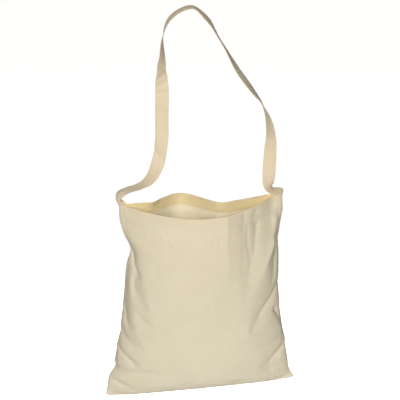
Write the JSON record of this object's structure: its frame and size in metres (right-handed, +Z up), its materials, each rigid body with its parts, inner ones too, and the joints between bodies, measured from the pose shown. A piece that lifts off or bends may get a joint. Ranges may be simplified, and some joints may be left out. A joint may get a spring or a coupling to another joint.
{
  "type": "tote bag",
  "caption": "Natural cotton tote bag, open at the top and softly filled out, hung by a long twisted shoulder strap sewn at the side seams.",
  "frame": {"origin": "under the top of the strap, where the bag hangs", "axes": "+Z up, +Y from the front panel to the back panel, +X towards the right side seam seen from the front"},
  "size_m": [0.381, 0.1119, 0.7708],
  "materials": {
    "panel_cotton": "unbleached plain-weave cotton, matt",
    "hem_cotton": "the same cotton doubled, a little yellower",
    "strap_cotton": "the same cotton folded into a flat strap"
  },
  "bodies": {
    "root": {"front_panel": "panel_cotton", "back_panel": "panel_cotton", "front_hem": "hem_cotton", "back_hem": "hem_cotton", "strap": "strap_cotton"}
  },
  "joints": []
}
